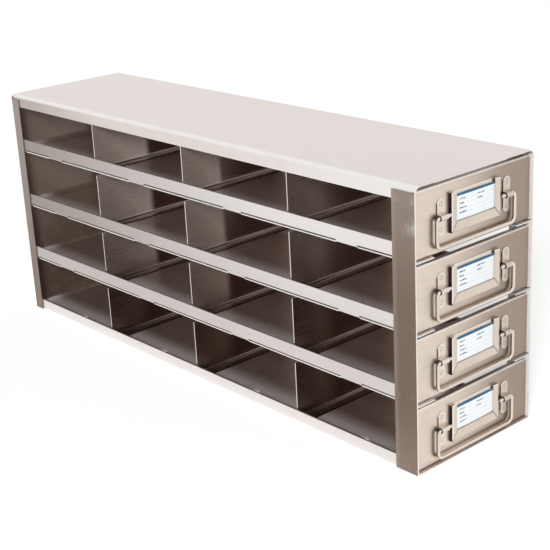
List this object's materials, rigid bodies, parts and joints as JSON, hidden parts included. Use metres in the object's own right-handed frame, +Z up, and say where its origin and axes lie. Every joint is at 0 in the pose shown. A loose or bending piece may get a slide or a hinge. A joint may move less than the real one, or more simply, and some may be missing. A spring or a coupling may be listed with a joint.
{
  "type": "freezer storage rack",
  "caption": "Freezer rack of folded stainless sheet, open at both sides, with divided sliding drawers for square boxes, label holders and swinging wire bails.",
  "frame": {"origin": "centre of the base, on the surface the rack stands on", "axes": "+Z up, -Y the front where the drawers pull out, +X to the right seen from the front"},
  "size_m": [0.14, 0.5612, 0.2349],
  "materials": {
    "frame_steel": "rolled satin sheet",
    "runner_steel": "rolled satin sheet",
    "drawer_steel": "brushed satin sheet",
    "divider_steel": "brushed satin sheet",
    "holder_steel": "satin sheet",
    "clip_steel": "satin strip",
    "bail_wire": "drawn wire, smooth",
    "card": "matt card"
  },
  "bodies": {
    "frame": {"top_panel": "frame_steel", "bottom_panel": "frame_steel", "back_panel": "frame_steel", "left_front_post": "frame_steel", "right_front_post": "frame_steel", "left_runner_1": "runner_steel", "left_runner_2": "runner_steel", "left_runner_3": "runner_steel", "right_runner_1": "runner_steel", "right_runner_2": "runner_steel", "right_runner_3": "runner_steel"},
    "drawer_1": {"drawer_1_tray": "drawer_steel", "drawer_1_divider_1": "divider_steel", "drawer_1_divider_2": "divider_steel", "drawer_1_divider_3": "divider_steel", "drawer_1_label_holder": "holder_steel", "drawer_1_label_card": "card", "drawer_1_left_clip": "clip_steel", "drawer_1_right_clip": "clip_steel"},
    "drawer_2": {"drawer_2_tray": "drawer_steel", "drawer_2_divider_1": "divider_steel", "drawer_2_divider_2": "divider_steel", "drawer_2_divider_3": "divider_steel", "drawer_2_label_holder": "holder_steel", "drawer_2_label_card": "card", "drawer_2_left_clip": "clip_steel", "drawer_2_right_clip": "clip_steel"},
    "drawer_3": {"drawer_3_tray": "drawer_steel", "drawer_3_divider_1": "divider_steel", "drawer_3_divider_2": "divider_steel", "drawer_3_divider_3": "divider_steel", "drawer_3_label_holder": "holder_steel", "drawer_3_label_card": "card", "drawer_3_left_clip": "clip_steel", "drawer_3_right_clip": "clip_steel"},
    "drawer_4": {"drawer_4_tray": "drawer_steel", "drawer_4_divider_1": "divider_steel", "drawer_4_divider_2": "divider_steel", "drawer_4_divider_3": "divider_steel", "drawer_4_label_holder": "holder_steel", "drawer_4_label_card": "card", "drawer_4_left_clip": "clip_steel", "drawer_4_right_clip": "clip_steel"},
    "bail_1": {"drawer_1_bail": "bail_wire"},
    "bail_2": {"drawer_2_bail": "bail_wire"},
    "bail_3": {"drawer_3_bail": "bail_wire"},
    "bail_4": {"drawer_4_bail": "bail_wire"}
  },
  "joints": [
    {"name": "drawer_1_slide", "type": "slide", "parent": "frame", "child": "drawer_1", "axis": [0, -1, 0], "range_m": [0, 0.42]},
    {"name": "drawer_2_slide", "type": "slide", "parent": "frame", "child": "drawer_2", "axis": [0, -1, 0], "range_m": [0, 0.42]},
    {"name": "drawer_3_slide", "type": "slide", "parent": "frame", "child": "drawer_3", "axis": [0, -1, 0], "range_m": [0, 0.42]},
    {"name": "drawer_4_slide", "type": "slide", "parent": "frame", "child": "drawer_4", "axis": [0, -1, 0], "range_m": [0, 0.42]},
    {"name": "bail_1_hinge", "type": "hinge", "parent": "drawer_1", "child": "bail_1", "pos_m": [0, -0.27827, 0.205], "axis": [-1, 0, 0], "range_deg": [-3, 183]},
    {"name": "bail_2_hinge", "type": "hinge", "parent": "drawer_2", "child": "bail_2", "pos_m": [0, -0.27827, 0.1465], "axis": [-1, 0, 0], "range_deg": [-3, 183]},
    {"name": "bail_3_hinge", "type": "hinge", "parent": "drawer_3", "child": "bail_3", "pos_m": [0, -0.27827, 0.088], "axis": [-1, 0, 0], "range_deg": [-3, 183]},
    {"name": "bail_4_hinge", "type": "hinge", "parent": "drawer_4", "child": "bail_4", "pos_m": [0, -0.27827, 0.0295], "axis": [-1, 0, 0], "range_deg": [-3, 183]}
  ]
}
